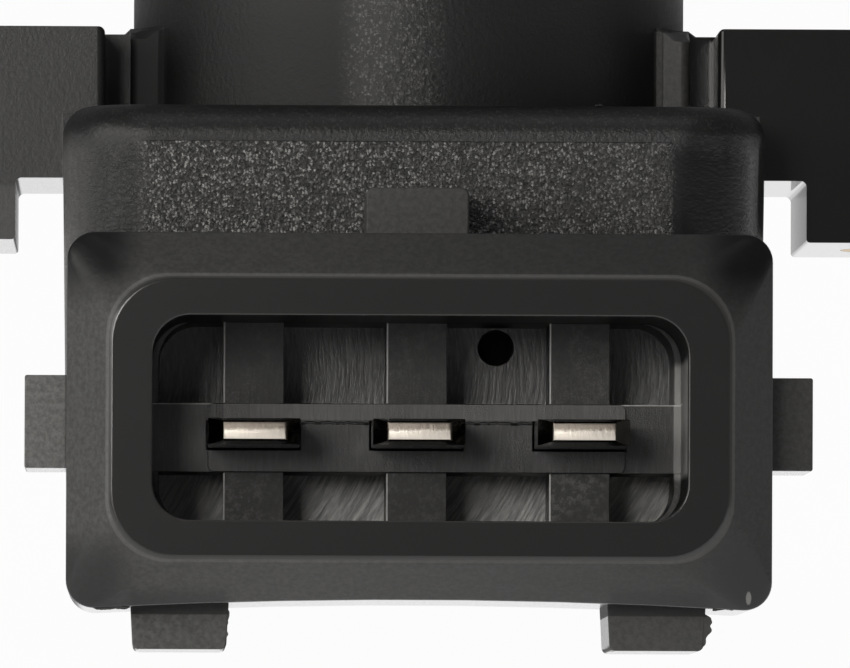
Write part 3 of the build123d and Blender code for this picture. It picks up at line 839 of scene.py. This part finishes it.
# %% Blade finish
tin = Finish("blade_tin", (0.74, 0.69, 0.62), 0.34, Metallic=1.0)
blade_half_thickness = 0.4
tin_up = tin.z - (blade_high.z - blade_half_thickness)
streaks = tin.grain(1.0, detail=4.0, roughness=0.7, place=tin.stretched((9.0, 1.0, 1.5)))
torn = tin.grain(7.0, detail=3.0, roughness=0.7)
lower_half = 1 - (tin_up + (torn - 0.5) * 0.15).ramp(-0.02, 0.10)
tip_shade = lower_half * 0.55 + streaks * 0.45 * (0.5 + lower_half * 0.5)
facing = tin.node("ShaderNodeNewGeometry", output="Normal")
towards_mouth = 1 - tin.parts(facing)[1].ramp(-0.97, -0.75)
towards_mouth = towards_mouth * (1 - tin.y.ramp(blade_low.y + 0.3, blade_low.y + 0.5))
plated = tin.blend(tip_shade, (0.28, 0.24, 0.20), (0.76, 0.70, 0.62))
# Painted reflection: the sides get a dark colour for the black walls they mirror.
sides_painted_dark = {"Factor": towards_mouth, "A": (0.10, 0.09, 0.08, 1.0), "B": plated}
tin.set("Base Color", tin.node("ShaderNodeMix", {"data_type": "RGBA"}, sides_painted_dark))
tin.set("Roughness", 0.18 + towards_mouth * (0.12 + streaks * 0.16 + (1 - lower_half) * 0.12))
tin.relief(streaks * 0.008 + torn * (1 - lower_half) * 0.02)
for blade in blades:
    wear(blade, tin)
print("blades dressed:", len(blades), "nodes in their finish:", len(tin.tree.nodes))

# %% [markdown]
# The other pieces
#
# Each remaining solid gets the finish of its real material, first the bushes of brass with the lathe's
# marks, the rubber of the seal, the grey silicone of the bead and the metals on the board. Plain
# colours would do for what stands inside the closed housing, but each gets a little noise, so that it
# still looks right when the housing is hidden.

# %% Metal and rubber finishes
brass = Finish("bush_brass", (0.72, 0.52, 0.25), 0.3, Metallic=1.0)
turned = brass.grain(1.0, place=brass.stretched((0.3, 0.3, 26.0)), detail=3.0)
tarnish = brass.grain(1.2, detail=3.0)
brass.set("Base Color", brass.blend(tarnish, (0.56, 0.38, 0.17), (0.80, 0.60, 0.30)))
brass.set("Roughness", 0.24 + turned * 0.2)
brass.relief(turned * 0.012)

rubber = Finish("seal_rubber", (0.018, 0.018, 0.018), 0.5)
rubber_grain = rubber.grain(9.0)
rubber.set("Roughness", 0.34 + rubber_grain * 0.25)
rubber.relief(rubber_grain * 0.006)

silicone = Finish("bead_silicone", (0.22, 0.22, 0.23), 0.55)
silicone_lumps = silicone.grain(2.5)
silicone.set("Base Color", silicone.blend(silicone_lumps, (0.17, 0.17, 0.18), (0.27, 0.27, 0.28)))
silicone.relief(silicone_lumps * 0.05)

solder = Finish("solder", (0.66, 0.66, 0.67), 0.28, Metallic=1.0)
solder_dull = solder.grain(4.0)
solder.set("Base Color", solder.blend(solder_dull, (0.55, 0.55, 0.56), (0.76, 0.76, 0.78)))
solder.set("Roughness", 0.2 + solder_dull * 0.2)

lead = Finish("lead_tin", (0.66, 0.64, 0.6), 0.3, Metallic=1.0)
lead_dull = lead.grain(8.0)
lead.set("Base Color", lead.blend(lead_dull, (0.56, 0.54, 0.5), (0.74, 0.72, 0.68)))
lead.set("Roughness", 0.26 + lead_dull * 0.16)
print("finishes so far:", len(bpy.data.materials))

# %% [markdown]
# Plastics, glass and ceramics
#
# The glued cover is moulded like the housing. The board is green laminate whose colour is a little
# uneven. The pressure cell has a dark cup, a glass pedestal, a silicon die and a clear, soft gel. Glass
# and gel are shown pale and glossy and not see-through, which would gain nothing in a closed housing.

# %% Cover and board finishes
cover_black = Finish("cover_black", (0.02, 0.02, 0.02), 0.5)
cover_grain = cover_black.grain(8.0, detail=3.0, roughness=0.6)
cover_black.set("Base Color", cover_black.blend(cover_grain, (0.014, 0.014, 0.014), (0.028, 0.028, 0.027)))
cover_black.set("Roughness", 0.44 + cover_grain * 0.16)
cover_black.relief(cover_grain * 0.012)

laminate = Finish("board_laminate", (0.03, 0.16, 0.06), 0.35)
weave = laminate.grain(3.0, detail=2.0)
laminate.set("Base Color", laminate.blend(weave, (0.02, 0.12, 0.045), (0.045, 0.21, 0.09)))

# %% Pressure cell finishes
cell_plastic = Finish("cell_plastic", (0.05, 0.045, 0.04), 0.5)
cell_grain = cell_plastic.grain(12.0)
cell_plastic.set("Base Color", cell_plastic.blend(cell_grain, (0.04, 0.036, 0.032), (0.065, 0.058, 0.05)))
cell_plastic.relief(cell_grain * 0.006)

glass = Finish("pedestal_glass", (0.62, 0.68, 0.66), 0.25)
ground = glass.grain(6.0)
glass.set("Base Color", glass.blend(ground, (0.55, 0.61, 0.59), (0.68, 0.74, 0.72)))
glass.set("Roughness", 0.2 + ground * 0.2)

silicon = Finish("die_silicon", (0.10, 0.10, 0.13), 0.18, Metallic=0.6)
silicon_haze = silicon.grain(5.0)
silicon.set("Base Color", silicon.blend(silicon_haze, (0.08, 0.08, 0.11), (0.13, 0.13, 0.17)))
silicon.set("Roughness", 0.14 + silicon_haze * 0.1)

gel = Finish("cell_gel", (0.55, 0.6, 0.62), 0.12)
gel_haze = gel.grain(1.5)
gel.set("Base Color", gel.blend(gel_haze, (0.5, 0.55, 0.57), (0.6, 0.65, 0.67)))
gel.set("Roughness", 0.08 + gel_haze * 0.1)

# %% Chip, capacitor and resistor finishes
epoxy = Finish("chip_epoxy", (0.03, 0.03, 0.032), 0.55)
epoxy_grain = epoxy.grain(14.0)
epoxy.set("Base Color", epoxy.blend(epoxy_grain, (0.024, 0.024, 0.026), (0.04, 0.04, 0.042)))
epoxy.relief(epoxy_grain * 0.006)

ceramic = Finish("capacitor_ceramic", (0.32, 0.22, 0.12), 0.4)
ceramic.set("Base Color", ceramic.blend(ceramic.grain(3.0), (0.28, 0.19, 0.1), (0.36, 0.26, 0.15)))

film = Finish("resistor_film", (0.03, 0.03, 0.035), 0.35)
film_haze = film.grain(6.0)
film.set("Base Color", film.blend(film_haze, (0.022, 0.022, 0.027), (0.04, 0.04, 0.045)))
film.set("Roughness", 0.3 + film_haze * 0.2)
print("finishes so far:", len(bpy.data.materials))

# %% Dress the other pieces
wear(o_ring, rubber)
finishes = {
    "bush_left": brass, "bush_right": brass, "cover_bead": silicone, "cell_seal": silicone,
    "base_cover": cover_black, "circuit_board": laminate, "solder_joints": solder,
    "cell_body": cell_plastic, "die_pedestal": glass, "sensor_die": silicon, "cell_gel": gel,
    "cell_leads": lead, "chip_leads": lead, "signal_chip": epoxy, "capacitors": ceramic,
    "resistors": film,
}
for name, finish in finishes.items():
    wear(nodes[name], finish)
print("dressed CAD nodes:", len(finishes))

# %% [markdown]
# Table
#
# The sensor lies on the bottom edges of its two coding ribs and of its block, so the table is tilted by
# four and a half degrees to the sensor's own frame, and the camera looks down on it by less than three.
# The table is white right up to the horizon. Camera, glossy and transmission rays see it as white, and a
# small share of its plain diffuse shading keeps the shadow of the sensor on it.

# %% Table
block_height = 14.89
foot_radius = 0.2
rib_foot = Vector((0.0, block_front_y, rib_foot_z)) * MM
block_foot = Vector((0.0, housing_high.y - foot_radius, block_top_z - block_height)) * MM
table_tilt = math.atan2(block_foot.z - rib_foot.z, block_foot.y - rib_foot.y)
table_metres = 8.0
table_gap = 0.02

table_shape = bmesh.new()
bmesh.ops.create_grid(table_shape, x_segments=1, y_segments=1, size=table_metres / 2)
bmesh.ops.rotate(table_shape, verts=table_shape.verts, matrix=Matrix.Rotation(table_tilt, 3, "X"))
bmesh.ops.translate(table_shape, verts=table_shape.verts, vec=rib_foot - Vector((0, 0, table_gap * MM)))
table_mesh = bpy.data.meshes.new("table")
table_shape.to_mesh(table_mesh)
table_shape.free()
table = bpy.data.objects.new("table", table_mesh)
bpy.context.scene.collection.objects.link(table)
print("table tilt in degrees:", round(math.degrees(table_tilt), 2))

# %% White of the table
white = Finish("table_white", (0.86, 0.86, 0.86), 0.6)
seen = white.node("ShaderNodeLightPath", output="Is Camera Ray")
for ray in ("Is Glossy Ray", "Is Transmission Ray"):
    seen = seen.math("MAXIMUM", white.node("ShaderNodeLightPath", output=ray))
glow = white.node("ShaderNodeEmission", {}, {"Color": (1.0, 1.0, 1.0, 1.0), "Strength": 1.0})
plain = Wire(white, white.shader.outputs[0])
whiteness = 0.97
both = white.node("ShaderNodeMixShader", {}, {0: seen * whiteness, 1: plain, 2: glow})
white.tree.links.new(both.socket, white.tree.nodes["Material Output"].inputs["Surface"])
table.data.materials.append(white.material)
print("share of the table's white that glows:", whiteness)

# %% [markdown]
# Lights
#
# The spigot is a black mirror, and shows where the lights of the photograph stood: a large soft one on
# the left, a smaller one beside it, and a small bright key just left of the camera and above it, which
# shines down the mouth on to the floors of its pockets. A weak light from above and a dim world keep the
# other sides readable. Nothing bright stands on the right. Places and sizes of the lights are in metres.

# %% Lights
aim_at = Vector((0.0, -0.015, -0.008))


def soft_light(name, place, size, radiance, colour=(1.0, 1.0, 1.0)):
    """A square lamp that faces the sensor, its power worked out from its size and its radiance."""
    lamp_data = bpy.data.lights.new(name, "AREA")
    lamp_data.shape = "SQUARE"
    lamp_data.size = size
    lamp_data.color = colour
    lamp_data.energy = radiance * math.pi * size * size
    lamp = bpy.data.objects.new(name, lamp_data)
    place = Vector(place)
    turn = (aim_at - place).to_track_quat("-Z", "Y").to_matrix().to_4x4()
    lamp.matrix_world = Matrix.Translation(place) @ turn
    bpy.context.scene.collection.objects.link(lamp)
    print(name, "power in watts:", round(lamp_data.energy, 3))


warm = (1.0, 0.98, 0.95)
soft_light("left_light", (-0.56, -0.34, 0.07), size=0.45, radiance=2.6, colour=(1.0, 0.985, 0.955))
soft_light("left_front_light", (-0.302, -0.583, 0.082), size=0.15, radiance=4.5, colour=warm)
soft_light("key_light", (-0.134, -0.647, 0.060), size=0.12, radiance=14.0, colour=warm)
soft_light("top_light", (0.0, -0.34, 0.555), size=0.40, radiance=0.6)

# %% World
world = bpy.data.worlds.new("studio")
world.use_nodes = True
world.node_tree.nodes["Background"].inputs["Color"].default_value = (0.15, 0.15, 0.152, 1.0)
world.node_tree.nodes["Background"].inputs["Strength"].default_value = 1.0
bpy.context.scene.world = world
bpy.context.scene.view_settings.view_transform = "Standard"
print("view transform:", bpy.context.scene.view_settings.view_transform)
